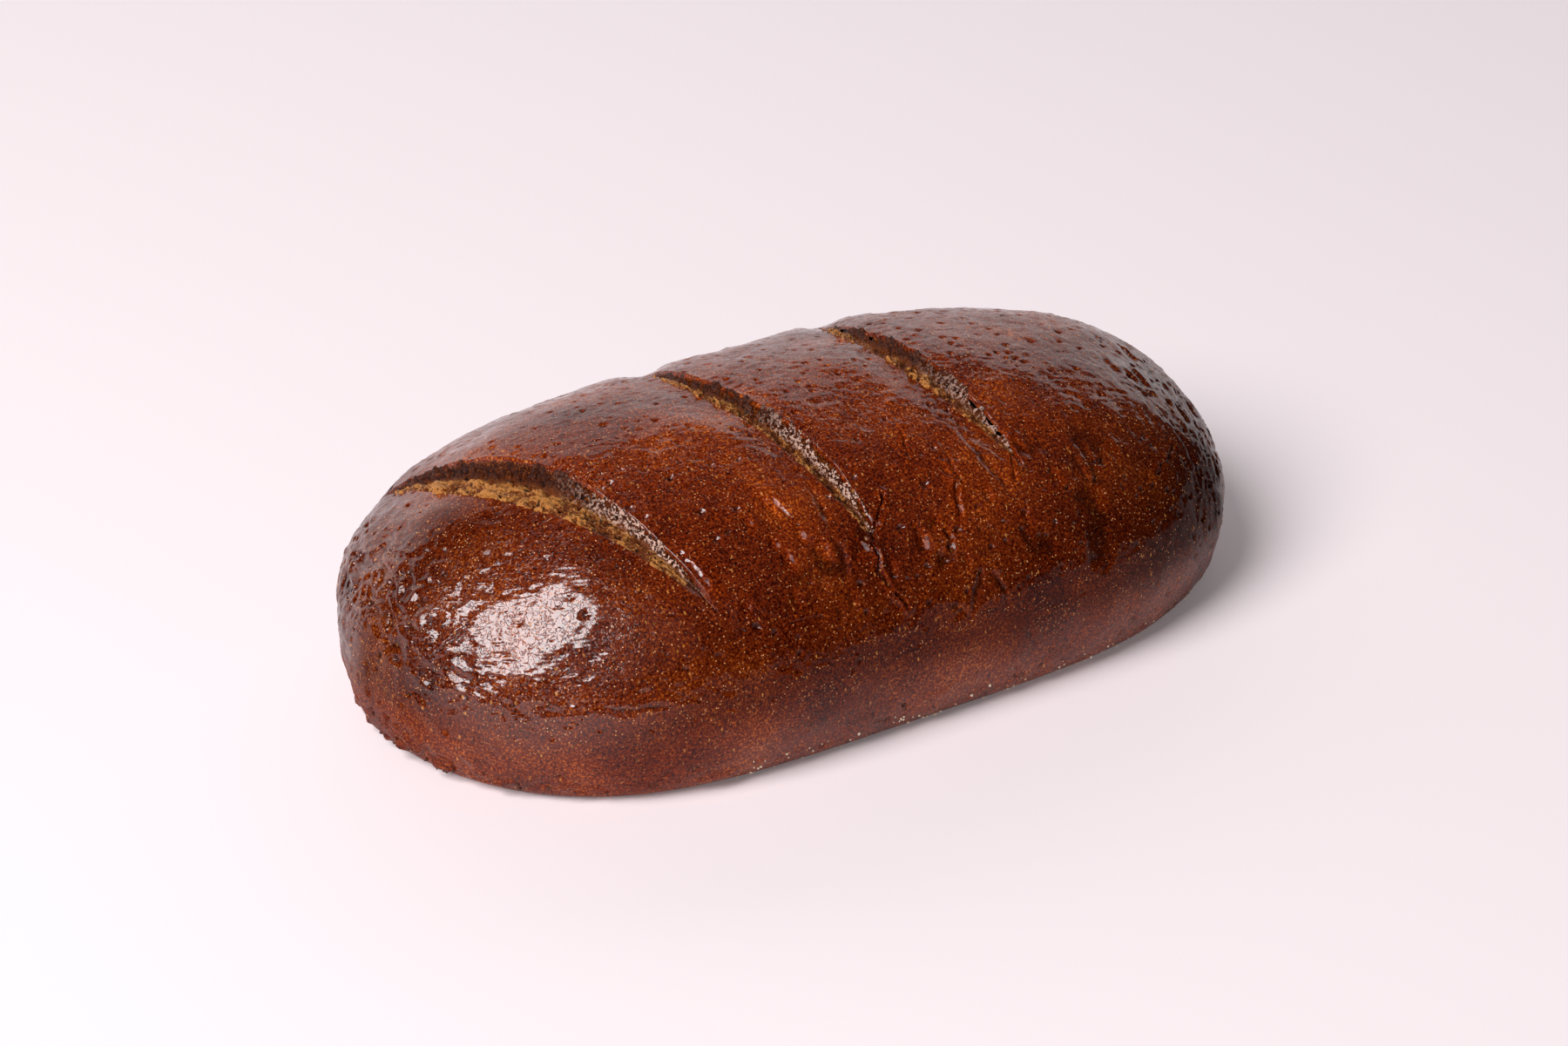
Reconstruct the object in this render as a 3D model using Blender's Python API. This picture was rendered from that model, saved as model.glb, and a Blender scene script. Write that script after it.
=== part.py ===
"""Free-form dark rye loaf with three slanted cuts across its crown, as one solid.

Metres, +Z up. X runs along the loaf, Y across it. The origin is the middle of the flat base.
"""

import bmesh
import bpy
import numpy as np

# Overall size of the loaf
LENGTH = 0.262
WIDTH = 0.1476
HEIGHT = 0.0746
BELT_HEIGHT = 0.0221  # the widest outline lies this far above the table
BASE_INSET = 0.0092  # the flat base stops this far inside the belt
CROWN_LEAN = -0.0051  # the crown sits a little towards -Y

# Exponents of the rounded forms: larger is boxier
PLAN_POWER = 3.92
PLAN_ROUNDING = 1.8
RIDGE_POWER = 3.13
RIDGE_ROUNDING = 1.8
RIDGE_FALL = 0.022  # the crown is lower at the +X end by this share
SHOULDER_SLACK = 0.22  # how much the arch sinks below a half ellipse between belt and crown

# The cuts, from -X to +X. Each middle line is x + slant * v + bow * v squared + hook * v cubed, where v is
# y / half width. It is open from near (on -Y) to far (on +Y) and widest at wide, and a larger fullness
# towards either end keeps it wide for longer. The crust sinks by valley around its far end.
CUTS = [
    dict(x=-0.0859, slant=-0.0265, bow=0.0085, hook=0.0036, near=-0.062, far=0.050, wide=0.003,
         opening=0.0148, near_fullness=1.5, far_fullness=1.5, depth=0.0060, valley=0.0004),
    dict(x=-0.0228, slant=-0.0122, bow=0.0166, hook=0.0160, near=-0.059, far=0.048, wide=-0.012,
         opening=0.0080, near_fullness=3.5, far_fullness=1.6, depth=0.0048, valley=0.0014),
    dict(x=0.0309, slant=-0.0055, bow=0.0194, hook=0.0123, near=-0.052, far=0.047, wide=0.000,
         opening=0.0088, near_fullness=2.5, far_fullness=1.3, depth=0.0046, valley=0.0015),
]
VALLEY_REACH = (0.009, 0.024)  # across the cut, and along it
END_SPREAD = 0.25  # share of the opening that is left where a cut runs out
FLOOR_AT = 0.42  # where the cut is deepest, as a share of its half width towards the +X lip
SOFT_LIP_DROP = 0.0016  # the -X lip rolls down into the cut
SOFT_LIP_REACH = 0.011
CRISP_LIP_DROP = 0.0005  # the +X lip stays sharp
CRISP_LIP_REACH = 0.006

# The crack that runs on down the side from the near end of one cut
CRACK = dict(cut=1, top=-0.0540, bottom=-0.0745, width=0.0030, depth=0.0012)

# Slow unevenness of a loaf shaped by hand: height, and two wave lengths in X and Y
LUMP = 0.0004
LUMP_LENGTHS = (0.083, 0.057)

# How finely the surface is cut into faces
HEEL_STATIONS = (16, 17)
SLICE_STATIONS = 9
CUT_OFFSETS = [-1.5, -1.0, -0.5, 0.0, 0.42, 0.75, 1.0, 1.4]
ARCH_STEPS = 46
BAND_STEPS = 6

HALF_LENGTH = LENGTH / 2
HALF_WIDTH = WIDTH / 2


def clear_scene():
    for item in list(bpy.data.objects):
        bpy.data.objects.remove(item, do_unlink=True)


def half_width(x):
    share = np.clip(np.abs(x) / HALF_LENGTH, 0, 1)
    return HALF_WIDTH * (1 - share**PLAN_POWER) ** (1 / PLAN_ROUNDING)


def ridge_height(x):
    share = np.clip(np.abs(x) / HALF_LENGTH, 0, 1)
    rise = (1 - share**RIDGE_POWER) ** (1 / RIDGE_ROUNDING)
    return BELT_HEIGHT + (HEIGHT - BELT_HEIGHT) * rise * (1 - RIDGE_FALL * x / HALF_LENGTH)


def cut_openness(cut, y):
    """Share of the full opening at y: 1 where the cut is widest, 0 at both ends and beyond."""
    nearer = y < cut["wide"]
    reach = np.where(nearer, cut["near"] - cut["wide"], cut["far"] - cut["wide"])
    share = np.clip((y - cut["wide"]) / reach, 0, 1)
    return 1 - share ** np.where(nearer, cut["near_fullness"], cut["far_fullness"])


def cut_middle(cut, y):
    across = y / HALF_WIDTH
    return cut["x"] + cut["slant"] * across + cut["bow"] * across**2 + cut["hook"] * across**3


def cut_half_opening(cut, y):
    spread = END_SPREAD + (1 - END_SPREAD) * cut_openness(cut, y)
    return cut["opening"] / 2 * spread


def station_line(line, y):
    """Position along X, at y, of a line of stations: an end of the loaf, or a line beside a cut."""
    kind, value = line
    if kind == "end":
        return np.full_like(y, value)
    cut = CUTS[kind]
    return cut_middle(cut, y) + value * cut_half_opening(cut, y)


def stations():
    """Each station lies between two lines, at a share of the way from one to the other."""
    lines = []
    first = (0, CUT_OFFSETS[0])
    last = (len(CUTS) - 1, CUT_OFFSETS[-1])
    for step in range(HEEL_STATIONS[0]):
        share = 1 - np.cos(step / HEEL_STATIONS[0] * np.pi / 2)
        lines.append((("end", -HALF_LENGTH), first, share))
    for number in range(len(CUTS)):
        for offset in CUT_OFFSETS:
            lines.append(((number, offset), (number, offset), 0.0))
        if number + 1 < len(CUTS):
            for step in range(1, SLICE_STATIONS):
                after = (number, CUT_OFFSETS[-1])
                before = (number + 1, CUT_OFFSETS[0])
                lines.append((after, before, step / SLICE_STATIONS))
    for step in range(1, HEEL_STATIONS[1] + 1):
        share = np.sin(step / HEEL_STATIONS[1] * np.pi / 2)
        lines.append((last, ("end", HALF_LENGTH), share))
    return lines


def station_x(station, y):
    start, stop, share = station
    return (1 - share) * station_line(start, y) + share * station_line(stop, y)


def section(station):
    """Closed section at a station: the arch from +Y over the crown to -Y, then the lower band."""
    angle = np.linspace(0, np.pi, ARCH_STEPS + 1)
    across = np.cos(angle)
    rise = np.sin(angle) * (1 - SHOULDER_SLACK * across**2 * (1 - across**2))
    y = across * HALF_WIDTH
    for _ in range(8):
        x = station_x(station, y)
        crown = ridge_height(x)
        lean = CROWN_LEAN * rise**2 * (crown - BELT_HEIGHT) / (HEIGHT - BELT_HEIGHT)
        y = across * half_width(x) + lean
    arch = np.stack([x, y, BELT_HEIGHT + (crown - BELT_HEIGHT) * rise], axis=-1)

    turn = np.linspace(0, np.pi / 2, BAND_STEPS + 1)[1:]
    inset = BASE_INSET * (1 - np.cos(turn))
    height = BELT_HEIGHT * (1 - np.sin(turn))
    height[-1] = 0.0
    bands = []
    for belt in (arch[-1], arch[0]):
        band_x = belt[0] * (1 - inset / HALF_LENGTH)
        band_y = belt[1] * (1 - inset / HALF_WIDTH)
        bands.append(np.stack([band_x, band_y, height], axis=-1))
    near, far = bands
    return np.concatenate([arch, near, far[::-1]])


def surface_normals(points):
    """Outward normals of a grid whose rows are stations and whose columns go round each section."""
    along = np.gradient(points, axis=0)
    around = (np.roll(points, -1, axis=1) - np.roll(points, 1, axis=1)) / 2
    normal = np.cross(around, along)
    length = np.linalg.norm(normal, axis=-1, keepdims=True)
    normal /= np.maximum(length, 1e-12)
    outward = np.sum(normal * (points - [0, 0, BELT_HEIGHT]), axis=-1, keepdims=True)
    return np.where(outward < 0, -normal, normal)


def smooth_fall(share):
    """1 at 0, easing down to 0 at 1 and beyond."""
    share = np.clip(np.abs(share), 0, 1)
    return (1 - share**2) ** 2


def cut_relief(points):
    """How far each point moves along its normal for the cuts: down in the cut and at its lips."""
    x, y = points[..., 0], points[..., 1]
    upper = np.clip((points[..., 2] - BELT_HEIGHT) / 0.010, 0, 1)
    move = np.zeros_like(x)
    for cut in CUTS:
        openness = cut_openness(cut, y)
        half_opening = cut_half_opening(cut, y)
        offset = (x - cut_middle(cut, y)) / half_opening
        left = np.clip((offset + 1) / (1 + FLOOR_AT), 0, 1)
        right = np.clip((1 - offset) / (1 - FLOOR_AT), 0, 1)
        inside = np.where(offset < FLOOR_AT, left**1.3, right**0.8)
        move -= cut["depth"] * np.sqrt(openness) * inside

        beyond_soft = (cut_middle(cut, y) - half_opening - x) / SOFT_LIP_REACH
        beyond_crisp = (x - cut_middle(cut, y) - half_opening) / CRISP_LIP_REACH
        soft = SOFT_LIP_DROP * smooth_fall(np.maximum(beyond_soft, 0)) * (offset < FLOOR_AT)
        crisp = CRISP_LIP_DROP * smooth_fall(np.maximum(beyond_crisp, 0)) * (offset >= FLOOR_AT)
        move -= (soft * (1 - 0.6 * left) + crisp) * openness

        across = (x - cut_middle(cut, y)) / VALLEY_REACH[0]
        along = (y - cut["far"]) / VALLEY_REACH[1]
        move -= cut["valley"] * smooth_fall(across) * smooth_fall(along)
    return move * upper


def crack_relief(points):
    x, y = points[..., 0], points[..., 1]
    middle = (CRACK["top"] + CRACK["bottom"]) / 2
    half_run = (CRACK["top"] - CRACK["bottom"]) / 2
    across = (x - cut_middle(CUTS[CRACK["cut"]], y)) / CRACK["width"]
    return -CRACK["depth"] * smooth_fall(across) * smooth_fall((y - middle) / half_run)


def lump_relief(points):
    long_wave, short_wave = LUMP_LENGTHS
    x, y, z = points[..., 0], points[..., 1], points[..., 2]
    wave = np.sin(2 * np.pi * (x / long_wave + y / short_wave))
    wave += np.sin(2 * np.pi * (x / short_wave - z / long_wave + 0.3))
    return LUMP / 2 * wave


def loaf_points():
    points = np.array([section(station) for station in stations()])
    normal = surface_normals(points)
    off_base = np.clip(points[..., 2] / BELT_HEIGHT, 0, 1)
    off_ends = np.clip((HALF_LENGTH - np.abs(points[..., 0])) / 0.012, 0, 1)
    move = cut_relief(points) + (crack_relief(points) + lump_relief(points)) * off_base
    points = points + normal * (move * off_ends)[..., None]
    middle = (points.min(axis=(0, 1)) + points.max(axis=(0, 1))) / 2
    points[..., :2] -= middle[:2]
    return points


def loaf_mesh():
    """Skin the sections with faces, close the base with one flat face and weld the pinched ends."""
    points = loaf_points()
    rows, columns = points.shape[:2]
    form = bmesh.new()
    rings = [[form.verts.new(point) for point in row] for row in points]
    near_foot = ARCH_STEPS + BAND_STEPS
    for lower, upper in zip(rings, rings[1:]):
        for column in range(columns):
            if column == near_foot:
                continue
            following = (column + 1) % columns
            form.faces.new((lower[column], lower[following], upper[following], upper[column]))
    near_edge = [ring[near_foot] for ring in rings]
    far_edge = [ring[near_foot + 1] for ring in rings]
    form.faces.new(near_edge + far_edge[::-1])
    bmesh.ops.remove_doubles(form, verts=form.verts, dist=1e-6)
    bmesh.ops.dissolve_degenerate(form, edges=form.edges, dist=1e-6)
    bmesh.ops.recalc_face_normals(form, faces=form.faces)
    mesh = bpy.data.meshes.new("loaf")
    form.to_mesh(mesh)
    form.free()
    return mesh


def crust_material():
    material = bpy.data.materials.new("crust")
    material.use_nodes = True
    shader = material.node_tree.nodes["Principled BSDF"]
    shader.inputs["Base Color"].default_value = (0.115, 0.030, 0.010, 1.0)
    shader.inputs["Roughness"].default_value = 0.32
    shader.inputs["Metallic"].default_value = 0.0
    return material


def main():
    clear_scene()
    mesh = loaf_mesh()
    mesh.materials.append(crust_material())
    mesh.shade_smooth()
    mesh.set_sharp_from_angle(angle=np.radians(50))
    loaf = bpy.data.objects.new("loaf", mesh)
    bpy.context.scene.collection.objects.link(loaf)


main()
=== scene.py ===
import bmesh
import bpy
import numpy as np
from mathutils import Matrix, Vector


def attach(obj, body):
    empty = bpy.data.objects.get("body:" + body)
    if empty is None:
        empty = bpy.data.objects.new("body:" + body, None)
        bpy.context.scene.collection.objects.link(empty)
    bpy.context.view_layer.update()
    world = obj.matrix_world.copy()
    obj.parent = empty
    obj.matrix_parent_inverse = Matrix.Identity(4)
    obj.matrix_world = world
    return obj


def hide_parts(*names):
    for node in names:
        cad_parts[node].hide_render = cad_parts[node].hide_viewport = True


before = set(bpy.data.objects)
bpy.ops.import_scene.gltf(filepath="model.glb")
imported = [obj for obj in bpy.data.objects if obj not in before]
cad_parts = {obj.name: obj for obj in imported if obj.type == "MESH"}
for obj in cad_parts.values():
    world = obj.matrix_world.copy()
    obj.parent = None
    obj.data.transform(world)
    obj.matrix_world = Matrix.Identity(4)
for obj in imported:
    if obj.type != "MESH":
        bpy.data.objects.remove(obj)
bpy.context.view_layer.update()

# Form of the whole loaf, in metres: the same named values as the solid's
loafForm = dict(
    halfLength=0.131,
    halfWidth=0.0738,
    height=0.0746,
    beltHeight=0.0221,  # the widest outline
    baseInset=0.0092,
    crownLean=-0.0051,
    planPower=3.92,
    planRounding=1.8,
    ridgePower=3.13,
    ridgeRounding=1.8,
    ridgeFall=0.022,
    shoulderSlack=0.22,
    lump=0.0004,
    lumpLengths=(0.083, 0.057),
)

# The three cuts, from -X to +X
cutForm = dict(
    x=[-0.0859, -0.0228, 0.0309],
    slant=[-0.0265, -0.0122, -0.0055],
    bow=[0.0085, 0.0166, 0.0194],
    hook=[0.0036, 0.0160, 0.0123],
    near=[-0.062, -0.059, -0.052],
    far=[0.050, 0.048, 0.047],
    wide=[0.003, -0.012, 0.000],
    opening=[0.0148, 0.0080, 0.0088],
    nearFullness=[1.5, 3.5, 2.5],
    farFullness=[1.5, 1.6, 1.3],
    depth=[0.0060, 0.0048, 0.0046],
    valley=[0.0004, 0.0014, 0.0015],  # the crust sinks softly where a cut runs out at the far shoulder
    valleyReach=(0.009, 0.024),
    endSpread=0.10,  # share of the opening left where a cut runs out
    floorAt=0.45,  # deepest here, as a share of the half opening towards the +X lip
    softDrop=0.0016,
    softReach=0.011,
    crispDrop=0.0005,
    crispReach=0.006,
    depthPower=0.75,
    floorPower=1.25,
    wallPower=0.75,
    bottomFade=0.010,  # the cuts fade out over this height above the belt
    outside=-0.02,  # what stands for a place in no cut
)


# Noise on arrays of points. A whole-number lattice is hashed to numbers from 0 to 1.
def hashLattice(ix, iy, iz, seed):
    h = ix * 374761393 + iy * 668265263 + iz * 1440662683 + seed * 974634777
    h = (h ^ (h >> 13)) * 1274126177 & 0xFFFFFFFF
    h = (h ^ (h >> 16)) * 2246822519 & 0xFFFFFFFF
    return ((h ^ (h >> 15)) & 0xFFFFFF) / 0xFFFFFF


# Value noise: random numbers at the corners of each cell, eased smoothly between them, -1 to 1
def smoothNoise(points, size, seed):
    p = points / size
    cell = np.floor(p).astype(np.int64)
    f = p - cell
    f = f * f * f * (f * (f * 6 - 15) + 10)
    total = np.zeros(points.shape[:-1])
    for dx in (0, 1):
        for dy in (0, 1):
            for dz in (0, 1):
                corner = hashLattice(cell[..., 0] + dx, cell[..., 1] + dy, cell[..., 2] + dz, seed)
                wx = f[..., 0] if dx else 1 - f[..., 0]
                wy = f[..., 1] if dy else 1 - f[..., 1]
                wz = f[..., 2] if dz else 1 - f[..., 2]
                total += corner * wx * wy * wz
    return total * 2 - 1


# Sum of octaves, each half the size and half the height of the one before, turned a little each time
def layeredNoise(points, size, seed, octaves=3, keep=0.5):
    turn = np.array([[0.8, 0.6, 0.0], [-0.48, 0.64, 0.6], [0.36, -0.48, 0.8]])
    total = np.zeros(points.shape[:-1])
    height = 1.0
    p = points
    for octave in range(octaves):
        total += height * smoothNoise(p, size, seed + octave)
        p = p @ turn
        size = size / 2
        height = height * keep
    return total


# Distance from each point to the nearest of the jittered cell centres, and that centre's random number
def cellDistance(points, spacing, seed, jitter=0.8):
    p = points / spacing
    cell = np.floor(p).astype(np.int64)
    best = np.full(points.shape[:-1], 9.0)
    kind = np.zeros(points.shape[:-1])
    for dx in (-1, 0, 1):
        for dy in (-1, 0, 1):
            for dz in (-1, 0, 1):
                ix, iy, iz = cell[..., 0] + dx, cell[..., 1] + dy, cell[..., 2] + dz
                cx = ix + 0.5 + jitter * (hashLattice(ix, iy, iz, seed) - 0.5)
                cy = iy + 0.5 + jitter * (hashLattice(ix, iy, iz, seed + 1) - 0.5)
                cz = iz + 0.5 + jitter * (hashLattice(ix, iy, iz, seed + 2) - 0.5)
                d = (p[..., 0] - cx) ** 2 + (p[..., 1] - cy) ** 2 + (p[..., 2] - cz) ** 2
                nearer = d < best
                best = np.where(nearer, d, best)
                kind = np.where(nearer, hashLattice(ix, iy, iz, seed + 3), kind)
    return np.sqrt(best) * spacing, kind


# 1 at 0, easing down to 0 at 1 and beyond
def smoothFall(share):
    share = np.clip(np.abs(share), 0, 1)
    return (1 - share**2) ** 2


# 0 below low, 1 above high, eased between
def smoothStep(value, low, high):
    share = np.clip((value - low) / (high - low), 0, 1)
    return share * share * (3 - 2 * share)


# Half width of the plan at x: half width times (1 - |x / a| ^ planPower) ^ (1 / planRounding)
def halfWidthAt(x):
    share = np.clip(np.abs(x) / loafForm["halfLength"], 0, 1)
    return loafForm["halfWidth"] * (1 - share ** loafForm["planPower"]) ** (1 / loafForm["planRounding"])


# Height of the crown at x, the same kind of curve above the belt, falling slightly towards +X
def crownAt(x):
    share = np.clip(np.abs(x) / loafForm["halfLength"], 0, 1)
    rise = (1 - share ** loafForm["ridgePower"]) ** (1 / loafForm["ridgeRounding"])
    fall = 1 - loafForm["ridgeFall"] * x / loafForm["halfLength"]
    return loafForm["beltHeight"] + (loafForm["height"] - loafForm["beltHeight"]) * rise * fall


# Share of the full opening at y: 1 where the cut is widest, 0 at its ends and beyond
def cutOpenness(number, y):
    wide = cutForm["wide"][number]
    reach = np.where(y < wide, cutForm["near"][number] - wide, cutForm["far"][number] - wide)
    fullness = np.where(y < wide, cutForm["nearFullness"][number], cutForm["farFullness"][number])
    return 1 - np.clip((y - wide) / reach, 0, 1) ** fullness


# Middle line of a cut, with v = y / half width: x + slant * v + bow * v squared + hook * v cubed
def cutMiddle(number, y):
    v = y / loafForm["halfWidth"]
    bend = cutForm["slant"][number] * v + cutForm["bow"][number] * v**2 + cutForm["hook"][number] * v**3
    return cutForm["x"][number] + bend


# Half the opening of a cut at y: its widest half opening times the share that is open there
def cutHalfOpening(number, y):
    least = cutForm["endSpread"]
    return cutForm["opening"][number] / 2 * (least + (1 - least) * cutOpenness(number, y))


# Smooth loaf surface without cuts. A row is a line over the loaf that is a mix of lines beside the cuts
# and the two ends: x = fixed + sum of middleShare * middle line + sum of openShare * half opening. Along
# a row the angle runs from the far belt over the crown to the near belt: y = cos(angle) * half width +
# lean, and z rises from the belt to the crown as sin(angle), slackened at the shoulders.
def loafArch(fixed, middleShare, openShare, angle):
    across = np.cos(angle)
    rise = np.sin(angle) * (1 - loafForm["shoulderSlack"] * across**2 * (1 - across**2))
    across, rise = np.broadcast_arrays(across, rise)
    y = across * loafForm["halfWidth"]
    for _ in range(8):  # x and y depend on each other and settle within a few rounds
        x = fixed + np.zeros_like(y)
        for number in range(3):
            x = x + middleShare[number] * cutMiddle(number, y)
            x = x + openShare[number] * cutHalfOpening(number, y)
        crown = crownAt(x)
        span = loafForm["height"] - loafForm["beltHeight"]
        lean = loafForm["crownLean"] * rise**2 * (crown - loafForm["beltHeight"]) / span
        y = across * halfWidthAt(x) + lean
    z = loafForm["beltHeight"] + (crown - loafForm["beltHeight"]) * rise
    return np.stack([x, y, z], axis=-1)


# How the grids of points become meshes
gridStyle = dict(
    fieldHeight=0.052,  # half heights of the rounded field that gives the normals of the pinched ends
    fieldPull=3,  # how much more it faces along X
    pinchFrom=0.004,  # from this far inside the end
    pinchTo=0.0005,
    weld=0.000002,
)


# Normals of a grid from the cross product of its two directions, turned to a rounded field at the ends,
# where its rows are pinched together
def gridNormals(points, wraps):
    along = np.gradient(points, axis=0)
    if wraps:
        around = (np.roll(points, -1, axis=1) - np.roll(points, 1, axis=1)) / 2
    else:
        around = np.gradient(points, axis=1)
    normal = np.cross(around, along)
    normal = normal / np.maximum(np.linalg.norm(normal, axis=-1, keepdims=True), 1e-12)
    centre = points - [0, 0, loafForm["beltHeight"]]
    halfSizes = np.array([loafForm["halfLength"], loafForm["halfWidth"], gridStyle["fieldHeight"]])
    field = centre / halfSizes**2
    field[..., 0] *= gridStyle["fieldPull"]
    field = field / np.maximum(np.linalg.norm(field, axis=-1, keepdims=True), 1e-12)
    flip = np.sum(normal * field, axis=-1, keepdims=True) < 0
    normal = np.where(flip, -normal, normal)
    end = loafForm["halfLength"]
    pinch = smoothStep(np.abs(points[..., 0:1]), end - gridStyle["pinchFrom"], end - gridStyle["pinchTo"])
    normal = normal * (1 - pinch) + field * pinch
    return normal / np.linalg.norm(normal, axis=-1, keepdims=True)


# Depth of the three cuts below the smooth surface at each point, how far inside a cut the point is, and
# how open that cut is there. The floor sinks from the soft -X lip, a steep wall goes up to the crisp +X
# lip, both lips are rolled down a little, and the crust sinks where a cut runs out at the far shoulder.
def cutProfile(points):
    x, y = points[..., 0], points[..., 1]
    belt = loafForm["beltHeight"]
    upper = smoothStep(points[..., 2], belt, belt + cutForm["bottomFade"])
    depth = np.zeros_like(x)
    inside = np.full_like(x, cutForm["outside"])
    opened = np.zeros_like(x)
    floorAt = cutForm["floorAt"]
    for number in range(3):
        openness = cutOpenness(number, y) * upper
        halfOpening = cutHalfOpening(number, y)
        offset = (x - cutMiddle(number, y)) / halfOpening
        left = np.clip((offset + 1) / (1 + floorAt), 0, 1)
        right = np.clip((1 - offset) / (1 - floorAt), 0, 1)
        bowl = np.where(offset < floorAt, left ** cutForm["floorPower"], right ** cutForm["wallPower"])
        pastSoft = np.maximum(-1 - offset, 0) * halfOpening / cutForm["softReach"]
        pastCrisp = np.maximum(offset - 1, 0) * halfOpening / cutForm["crispReach"]
        soft = cutForm["softDrop"] * smoothFall(pastSoft) * (1 - left)
        crisp = cutForm["crispDrop"] * smoothFall(pastCrisp) * (1 - right)
        depth += cutForm["depth"][number] * openness ** cutForm["depthPower"] * bowl
        depth += (soft * (offset < floorAt) + crisp * (offset >= floorAt)) * openness
        across, along = cutForm["valleyReach"]
        sink = smoothFall((x - cutMiddle(number, y)) / across)
        sink = sink * smoothFall((y - cutForm["far"][number]) / along)
        depth += cutForm["valley"][number] * sink
        within = np.where(openness > 0, (1 - np.abs(offset)) * halfOpening, cutForm["outside"])
        opened = np.where(within > inside, openness, opened)
        inside = np.maximum(inside, within)
    return depth, inside, opened


# Slow unevenness of the whole loaf: two waves slanting across it
def lumpWaves(points):
    longWave, shortWave = loafForm["lumpLengths"]
    x, y, z = points[..., 0], points[..., 1], points[..., 2]
    wave = np.sin(2 * np.pi * (x / longWave + y / shortWave))
    wave = wave + np.sin(2 * np.pi * (x / shortWave - z / longWave + 0.3))
    return loafForm["lump"] / 2 * wave


def addObject(name, data):
    item = bpy.data.objects.new(name, data)
    bpy.context.scene.collection.objects.link(item)
    return item


# A mesh object from a grid of points. A grid that wraps joins its last column to its first. Where normals
# are given, points that coincide are welded and the faces are shaded by the normals, so that neighbouring
# pieces meet unseen.
def gridObject(name, points, wraps, attributes, normals=None):
    rows, columns = points.shape[:2]
    index = np.arange(rows * columns).reshape(rows, columns)
    following = np.roll(index, -1, axis=1) if wraps else index[:, 1:]
    here = index if wraps else index[:, :-1]
    faces = np.stack([here[:-1], following[:-1], following[1:], here[1:]], axis=-1).reshape(-1, 4)
    mesh = bpy.data.meshes.new(name)
    mesh.vertices.add(rows * columns)
    mesh.vertices.foreach_set("co", points.reshape(-1).astype(np.float32))
    mesh.loops.add(faces.size)
    mesh.loops.foreach_set("vertex_index", faces.reshape(-1).astype(np.int32))
    mesh.polygons.add(len(faces))
    mesh.polygons.foreach_set("loop_start", np.arange(0, faces.size, 4, dtype=np.int32))
    mesh.update(calc_edges=True)
    for key, values in attributes.items():
        layer = mesh.attributes.new(key, "FLOAT", "POINT")
        layer.data.foreach_set("value", values.reshape(-1).astype(np.float32))
    mesh.shade_smooth()
    if normals is not None:
        layer = mesh.attributes.new("gridNormal", "FLOAT_VECTOR", "POINT")
        layer.data.foreach_set("vector", normals.reshape(-1).astype(np.float32))
        weldMesh(mesh, gridStyle["weld"])
        kept = np.zeros(len(mesh.vertices) * 3, dtype=np.float32)
        mesh.attributes["gridNormal"].data.foreach_get("vector", kept)
        mesh.attributes.remove(mesh.attributes["gridNormal"])
        mesh.normals_split_custom_set_from_vertices(kept.reshape(-1, 3))
    return addObject(name, mesh)


# Welds points that coincide and drops the faces that this flattens
def weldMesh(mesh, distance):
    form = bmesh.new()
    form.from_mesh(mesh)
    bmesh.ops.remove_doubles(form, verts=form.verts, dist=distance)
    form.to_mesh(mesh)
    form.free()


# Crust

crustStyle = dict(
    rows=dict(heel=98, cut=40, slice=94, tail=186),
    farSteps=90,  # the side away from the camera is drawn a little coarser
    nearSteps=292,
    farAngle=1.0,
    bandSteps=(46, 28),
    baseSteps=4,
    cutReach=(-1.6, 1.5),  # the rows beside a cut, in half openings
    cutGap=0.0010,  # the crust dips this far under the crumb inside a cut
    gapInside=(0.0001, 0.0009),
    gapOpenness=(0.10, 0.30),
    quietInside=(-0.0002, 0.0006),  # where the relief dies away into a cut
    quietShare=0.8,
    reliefFrom=0.006,  # full relief from this height
    lumpFrom=0.022,
    lipInside=(0.0, 0.0004),
    lipDepth=(0.0004, 0.0014),
    dipScale=0.0010,  # relief that counts as one whole step of painted shade
    swell=0.00045,
    swellSize=0.020,
    dent=0.00024,
    dentSize=0.0080,
    peel=0.00008,  # orange peel of the glaze
    peelSize=0.0016,
    wrinkle=0.00050,  # leathery wrinkles on the ends
    wrinkleSize=0.0027,
    crease=0.00013,  # fine creases on the crown
    creaseSize=0.0026,
    pitDepth=0.0011,
    pitSpacing=0.0040,
    pitRadius=0.0011,
    blister=0.00038,
    blisterSpacing=0.0095,
    blisterRadius=(0.0011, 0.0015),  # the least, and how much more the largest has
    fingertip=0.01,  # wider dents leave the glaze whole
    fold=0.00075,  # upright folds on the near side between the last two cuts
    foldSize=0.0085,
    foot=0.0013,  # how far the frayed foot stands out
    footSize=0.0042,  # one fringe of it
    footHeight=0.0042,
    footReach=0.0034,
    footRight=0.45,  # share of it that the right side has
    footTurn=(0.020, 0.080),
)

# Where each kind of relief begins and where it is full
reliefZones = dict(
    leftEnd=(0.098, 0.122),  # along -X
    rightEnd=(0.080, 0.125),  # along +X, sooner higher up
    rightLean=0.25,
    crown=(0.050, 0.068),  # upwards
    back=(0.010, 0.050),  # away from the camera
    low=(-0.024, -0.008),  # downwards
    near=(0.036, 0.050),  # towards the camera
    nearRise=(0.026, 0.038),
    foldsFrom=(-0.060, -0.020),
    foldsTo=(0.055, 0.090),
)

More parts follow.
